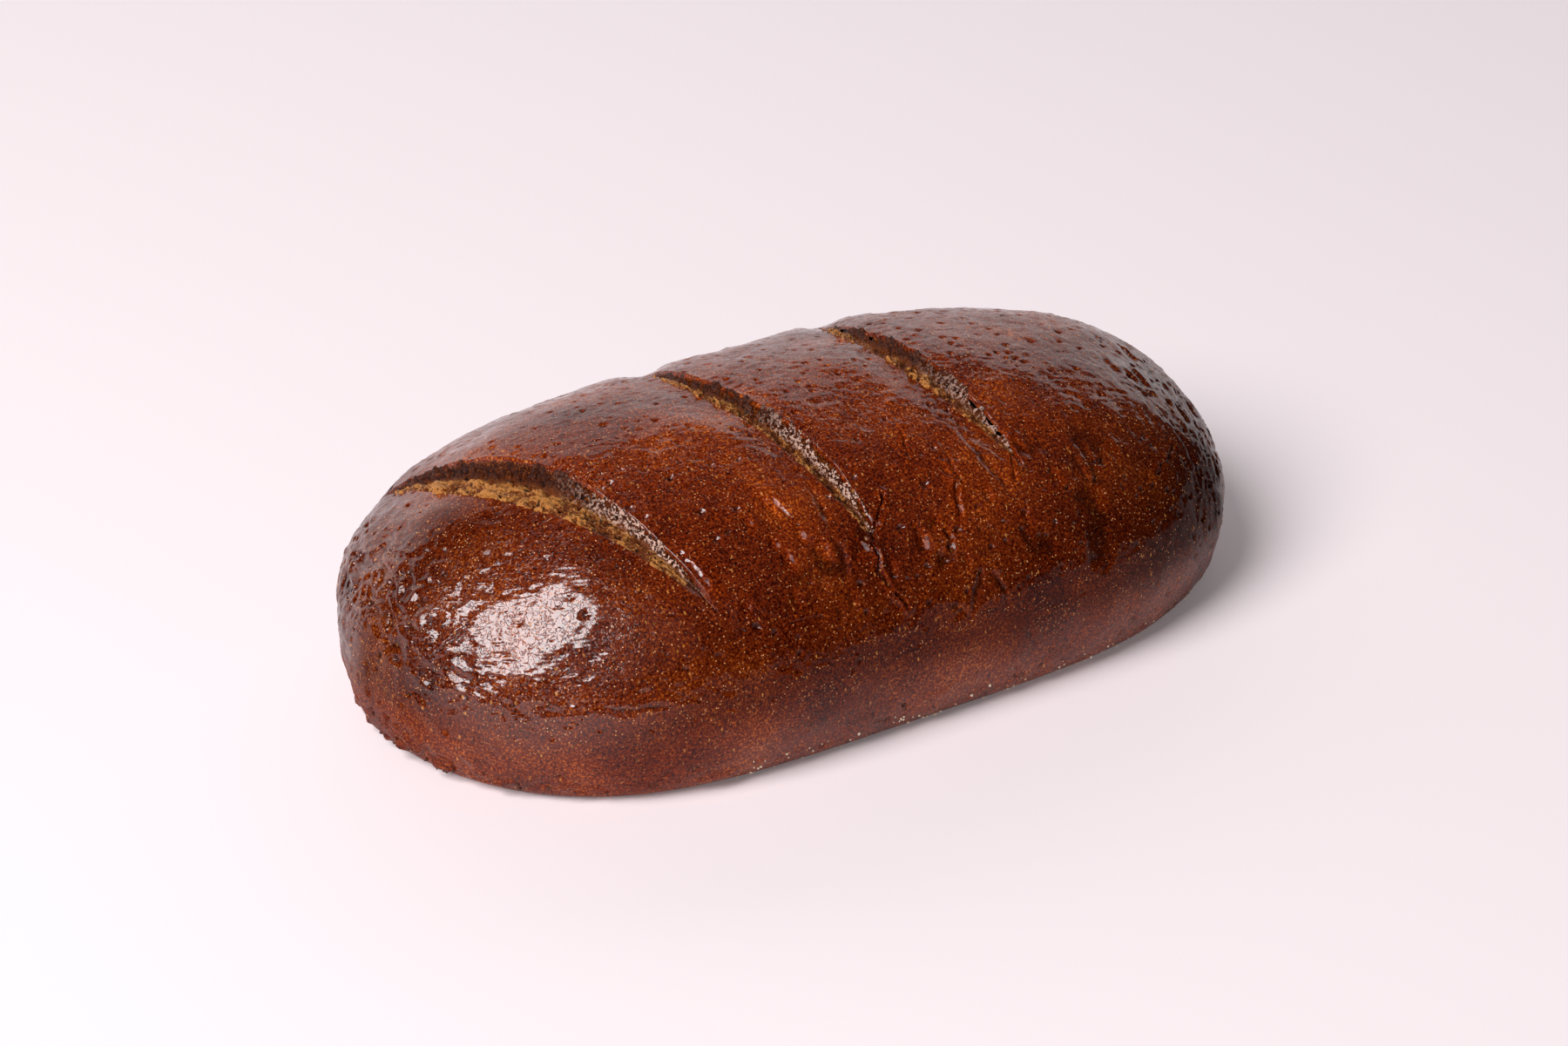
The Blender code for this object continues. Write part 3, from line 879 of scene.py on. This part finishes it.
# Dark rye crust, brushed with starch water and baked hard: brown mottled with rye meal, tan specks of
# bran, and a clear gloss that shows every wrinkle; its colour also carries painted shade and light by
# zone, painted glints as pale dots, and painted shade in dips and cracks
def crustMaterial():
    style = crustFinish
    m = newMaterial("ryeCrustStarchGlazed")
    place = addNode(m, "TexCoord").outputs["Object"]
    paintedShading, gloss, crazed, glintShare = readAttributes(m, "paintedShading", "gloss", "crackle", "glintShare")
    crackShade, lip, dipShade = readAttributes(m, "crackShade", "lip", "dipShade")

    zone = noiseTexture(m, place, style["zoneScale"], 3.0, 0.5)
    grain = noiseTexture(m, place, style["grainScale"], 3.0, 0.7)
    drawnOut = addNode(m, "Mapping", Vector=place, Scale=(1.0, 0.5, 0.45)).outputs[0]
    specks = addNode(m, "TexVoronoi", Vector=drawnOut, Scale=style["speckScale"], Randomness=1.0)
    chance = addNode(m, "SeparateColor", i0=specks.outputs["Color"]).outputs[0]
    dots = addNode(m, "TexVoronoi", Vector=place, Scale=style["dotScale"], Randomness=1.0)
    dotChance = addNode(m, "SeparateColor", i0=dots.outputs["Color"]).outputs[1]

    blend = calculate(m, "MULTIPLY_ADD", zone, 0.35, grain)
    colour = mixColour(m, remap(m, blend, *style["bodyFrom"]), style["dark"], style["body"])
    colour = mixColour(m, remap(m, blend, *style["warmFrom"]), colour, style["warm"])
    # painted shade and light: the colour multiplied by the zone shading
    colour = mixColour(m, 1.0, colour, paintedShading, "MULTIPLY")
    speckSpot = remap(m, specks.outputs["Distance"], *style["speckEdge"], 1.0, 0.0)
    speck = calculate(m, "MULTIPLY", speckSpot, remap(m, chance, *style["speckChance"], 0.0, 0.9))
    colour = mixColour(m, speck, colour, style["bran"])
    # painted glints: pale dots mixed into the colour, fewer low down
    dotSpot = remap(m, dots.outputs["Distance"], *style["dotEdge"], 1.0, 0.0)
    dot = calculate(m, "MULTIPLY", dotSpot, remap(m, dotChance, *style["dotChance"]))
    dot = calculate(m, "MULTIPLY", dot, glintShare)
    colour = mixColour(m, dot, colour, style["glint"])
    # painted shade in dips and in cracks
    colour = mixColour(m, remap(m, dipShade, 0.75, 1.2, 0.0, 0.6), colour, style["recessShade"])
    colour = mixColour(m, remap(m, crackShade, 0.2, 1.0, 0.0, 0.5), colour, style["recessShade"])
    mealy = remap(m, grain, *style["mealFrom"])
    edgeColour = mixColour(m, mealy, style["cutEdge"], style["cutMeal"])
    colour = mixColour(m, remap(m, lip, 0.2, 1.0, 0.0, 0.9), colour, edgeColour)

    # the glaze lies flat between narrow crackle lines, and the meal below it is coarser
    crackle = noiseTexture(m, place, style["crackleScale"], 2.0, 0.6, 0.6)
    away = calculate(m, "ABSOLUTE", calculate(m, "SUBTRACT", crackle, 0.5))
    lines = calculate(m, "MULTIPLY", remap(m, away, 0.0, style["crackleLine"]), crazed)
    glaze = calculate(m, "MULTIPLY_ADD", calculate(m, "ADD", speck, dot), 0.4, lines)
    glazeBump = addNode(m, "Bump", i0=1.0, Distance=style["glazeHeight"], Height=glaze).outputs[0]
    mealBump = addNode(m, "Bump", i0=1.0, Distance=style["mealHeight"], Height=grain).outputs[0]

    addSurface(m, Base_Color=colour, Roughness=style["roughness"], IOR=1.45,
               Specular_IOR_Level=style["specular"], Coat_Weight=gloss,
               Coat_Roughness=style["coatRoughness"], Coat_IOR=style["coatIor"], Normal=mealBump,
               Coat_Normal=glazeBump)
    return m


crumbFinish = dict(
    toasted="#3c1608",
    brown="#7a3a14",
    golden="#d08c46",
    wallGlint="#f4ccb8",
    # painted shade in the pores
    pore="#160702",
    roughness=0.5,
    specular=0.0,
    coat=0.7,
    coatRoughness=0.16,
    grainScale=900.0,  # coarse crumbs of 1.1 mm
    grainHeight=0.0020,
    wallGlintScale=1150.0,  # painted glints 0.9 mm apart
    wallGlintFrom=(0.48, 0.56),
    goldenFrom=(0.60, 0.76),
    wallFrom=(0.92, 1.25),
)


# Rye crumb opened in the oven: toasted dark on the wall, golden on the floor, painted shade in its pores,
# and painted glints on the wall near the near end of each cut
def crumbMaterial():
    style = crumbFinish
    m = newMaterial("toastedRyeCrumb")
    place = addNode(m, "TexCoord").outputs["Object"]
    across, pore, rag, glintReach = readAttributes(m, "across", "pore", "rag", "glintReach")
    grain = noiseTexture(m, place, style["grainScale"], 3.0, 0.7)
    lump = remap(m, calculate(m, "MULTIPLY_ADD", rag, 0.35, grain), *style["goldenFrom"])
    floor = mixColour(m, lump, style["brown"], style["golden"])
    wall = mixColour(m, remap(m, grain, 0.45, 0.70), style["toasted"], style["brown"])
    shift = calculate(m, "MULTIPLY_ADD", rag, 0.4, across)
    shift = calculate(m, "MULTIPLY_ADD", grain, 0.8, shift)
    colour = mixColour(m, remap(m, shift, *style["wallFrom"]), floor, wall)
    # painted shade in the pores
    colour = mixColour(m, remap(m, pore, 0.1, 0.7, 0.0, 0.9), colour, style["pore"])
    # painted glints on the wall
    wallGlintNoise = noiseTexture(m, place, style["wallGlintScale"], 2.0, 0.6)
    wallGlint = calculate(m, "MULTIPLY", remap(m, wallGlintNoise, *style["wallGlintFrom"]), glintReach)
    colour = mixColour(m, wallGlint, colour, style["wallGlint"])
    bump = addNode(m, "Bump", i0=1.0, Distance=style["grainHeight"], Height=grain).outputs[0]
    addSurface(m, Base_Color=colour, Roughness=style["roughness"], IOR=1.45,
               Specular_IOR_Level=style["specular"], Coat_Weight=style["coat"],
               Coat_Roughness=style["coatRoughness"], Normal=bump, Coat_Normal=bump)
    return m


crustLook = crustMaterial()
crusts = makeCrust()
for crust in crusts:
    crust.data.materials.append(crustLook)
    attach(crust, "root")
    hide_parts("loaf")
    print(crust.name, "made,", len(crust.data.polygons), "faces")

# Grains and crumbs at the foot of the crust

grainStyle = dict(
    semolina=dict(count=90, stretch=(-0.060, 0.095), radii=(0.00016, 0.00040), seed=7,
                  material="paleSemolina", colour="#efe0c4", roughness=0.5),
    crustCrumbs=dict(count=18, stretch=(-0.128, -0.080), radii=(0.00025, 0.00070), seed=8,
                     material="darkRyeCrumbs", colour="#4e2414", roughness=0.7),
)
footHeights = (0.0006, 0.0075)  # the grains cling to the near foot between these heights


# Many small lumps as one mesh: each a ball of 8 by 6 faces, squeezed and dented at random, set on a
# random point of the crust's near foot between the two ends of its stretch
def makeGrains(name, style, hosts):
    count, stretch, radii = style["count"], style["stretch"], style["radii"]
    rng = np.random.default_rng(style["seed"])
    chosen = hosts[(hosts[:, 0] > stretch[0]) & (hosts[:, 0] < stretch[1])]
    centres = chosen[rng.integers(0, len(chosen), count)]
    turn = np.linspace(0, 2 * np.pi, 8, endpoint=False)
    rise = np.linspace(-np.pi / 2, np.pi / 2, 7)[1:-1]
    ring = np.stack([np.outer(np.cos(rise), np.cos(turn)), np.outer(np.cos(rise), np.sin(turn)),
                     np.outer(np.sin(rise), np.ones(8))], axis=-1).reshape(-1, 3)
    ball = np.concatenate([[[0, 0, -1.0]], ring, [[0, 0, 1.0]]])
    size = rng.uniform(*radii, (count, 1, 1)) * rng.uniform(0.7, 1.3, (count, 1, 3))
    outward = centres * [0.35, 1.0, 0.0]
    outward = outward / np.linalg.norm(outward, axis=-1, keepdims=True)
    lumps = ball[None] * size * rng.uniform(0.8, 1.15, (count, len(ball), 1))
    lumps = lumps + (centres + outward * radii[0] * 0.6)[:, None]
    lumps[..., 2] = np.maximum(lumps[..., 2], 0.0)

    here = np.arange(8)
    after = (here + 1) % 8
    last = len(ball) - 1
    low = 1 + 8 * np.arange(4)[:, None]
    bottom = np.stack([0 * here, 1 + after, 1 + here], axis=-1)
    top = np.stack([last + 0 * here, last - 8 + here, last - 8 + after], axis=-1)
    sides = np.stack([low + here, low + after, low + 8 + after, low + 8 + here], axis=-1).reshape(-1, 4)
    first = len(ball) * np.arange(count)[:, None, None]
    faces = (np.concatenate([bottom, top]) + first).reshape(-1, 3).tolist()
    faces += (sides + first).reshape(-1, 4).tolist()
    mesh = bpy.data.meshes.new(name)
    mesh.from_pydata(lumps.reshape(-1, 3).tolist(), [], faces)
    mesh.update()
    return addObject(name, mesh)


def plainMaterial(name, code, roughness):
    m = newMaterial(name)
    addSurface(m, Base_Color=linear(code), Roughness=roughness)
    return m


# Points of the crust's near side between the two heights
def footPoints(crusts):
    hosts = []
    for crust in crusts:
        spots = np.empty(3 * len(crust.data.vertices))
        crust.data.vertices.foreach_get("co", spots)
        hosts.append(spots.reshape(-1, 3))
    hosts = np.concatenate(hosts)
    low, high = footHeights
    return hosts[(hosts[:, 1] < 0) & (hosts[:, 2] > low) & (hosts[:, 2] < high)]


hosts = footPoints(crusts)
for grainName, style in grainStyle.items():
    grains = makeGrains(grainName, style, hosts)
    grains.data.materials.append(plainMaterial(style["material"], style["colour"], style["roughness"]))
    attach(grains, "root")
    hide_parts("loaf")
    print(grains.name, "made,", len(grains.data.polygons), "faces")

crumbLook = crumbMaterial()
for cutNumber in range(3):
    crumb = makeCrumb(cutNumber)
    crumb.data.materials.append(crumbLook)
    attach(crumb, "root")
    print(crumb.name, "made,", len(crumb.data.polygons), "faces")


# Floor, lights and camera

stageStyle = dict(
    floor="#f3ebee",
    floorSize=8.0,
    floorDrop=0.0002,  # a hair below the loaf, so that their faces don't coincide
    floorRoughness=0.7,
    floorGlow=0.13,  # the table is translucent and lit a little from below
    world="#fff6f8",
    worldStrength=0.035,
    lightColour="#fffafb",
    lightsAt=0.04,  # the height that the lights face
)

lightStyle = dict(
    keyLight=dict(shape="ELLIPSE", fromWay=(-0.69, -0.18, 0.70), distance=2.6, size=(1.55, 1.80),
                  power=84.0),
    backLight=dict(shape="RECTANGLE", fromWay=(0.33, 0.82, 0.34), distance=3.0, size=(6.8, 2.4),
                   power=51.0),
    frontLight=dict(shape="RECTANGLE", fromWay=(-0.459, -0.740, 0.80), distance=3.0, size=(3.5, 2.4),
                    power=4.0),
)

cameraStyle = dict(
    azimuth=-31.79,
    elevation=29.51,
    distance=1.0098,
    lens=85.0,
    clipStart=0.05,
    aimHeight=0.040,
    aimRight=-0.00195,
    aimUp=-0.01087,
)


def makeFloor():
    half = stageStyle["floorSize"] / 2
    corners = [(-half, -half, 0), (half, -half, 0), (half, half, 0), (-half, half, 0)]
    mesh = bpy.data.meshes.new("floor")
    mesh.from_pydata(corners, [], [(0, 1, 2, 3)])
    floor = addObject("floor", mesh)
    m = newMaterial("palePaperSweep")
    colour = linear(stageStyle["floor"])
    addSurface(m, Base_Color=colour, Roughness=stageStyle["floorRoughness"],
               Emission_Color=colour, Emission_Strength=stageStyle["floorGlow"])
    mesh.materials.append(m)
    floor.location.z = -stageStyle["floorDrop"]


# An area light at a distance along its way from the loaf, facing it
def areaLight(name, shape, fromWay, distance, size, power):
    data = bpy.data.lights.new(name, "AREA")
    data.shape = shape
    data.size, data.size_y = size
    data.energy = power
    data.color = linear(stageStyle["lightColour"])[:3]
    light = addObject(name, data)
    way = Vector(fromWay).normalized()
    light.location = way * distance + Vector((0, 0, stageStyle["lightsAt"]))
    light.rotation_euler = way.to_track_quat("Z", "Y").to_euler()


# The camera stands back from its aim, a point beside the loaf's middle by aimRight and aimUp in its view
def makeCamera():
    azimuth, elevation = np.radians(cameraStyle["azimuth"]), np.radians(cameraStyle["elevation"])
    level = np.cos(elevation)
    back = Vector((np.sin(azimuth) * level, -np.cos(azimuth) * level, np.sin(elevation)))
    right = Vector((np.cos(azimuth), np.sin(azimuth), 0))
    up = back.cross(right)
    data = bpy.data.cameras.new("camera")
    data.lens = cameraStyle["lens"]
    data.clip_start = cameraStyle["clipStart"]
    camera = addObject("camera", data)
    aim = Vector((0, 0, cameraStyle["aimHeight"]))
    aim = aim + right * cameraStyle["aimRight"] + up * cameraStyle["aimUp"]
    camera.location = aim + back * cameraStyle["distance"]
    camera.rotation_euler = back.to_track_quat("Z", "Y").to_euler()
    bpy.context.scene.camera = camera


def makeWorld():
    world = bpy.data.worlds.new("studio")
    bpy.context.scene.world = world
    world.use_nodes = True
    background = world.node_tree.nodes["Background"]
    background.inputs[0].default_value = linear(stageStyle["world"])
    background.inputs[1].default_value = stageStyle["worldStrength"]


makeFloor()
for lightName, style in lightStyle.items():
    areaLight(lightName, **style)
makeWorld()
makeCamera()
bpy.context.scene.view_settings.view_transform = "Standard"
print("stage made")
